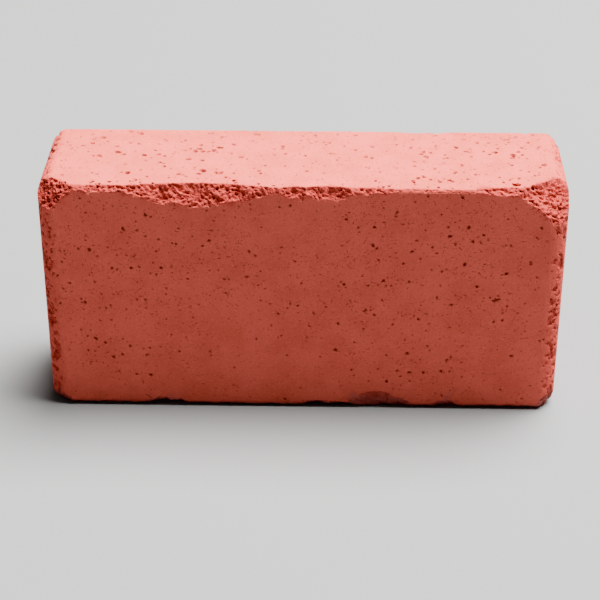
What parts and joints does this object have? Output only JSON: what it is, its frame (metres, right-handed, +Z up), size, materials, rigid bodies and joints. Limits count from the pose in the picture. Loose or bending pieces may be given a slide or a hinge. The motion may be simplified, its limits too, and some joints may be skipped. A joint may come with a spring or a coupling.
{
  "type": "clay bar",
  "caption": "Rectangular block of porous red clay with rubbed arrises, broken top corners and chipped edges.",
  "frame": {"origin": "centre of the long narrow face the bar stands on", "axes": "+X along the bar's length, +Y from the front broad face to the back broad face, +Z up"},
  "size_m": [0.1, 0.026, 0.0485],
  "materials": {
    "red_clay": "matte"
  },
  "bodies": {
    "root": {"clay_bar": "red_clay"}
  },
  "joints": []
}
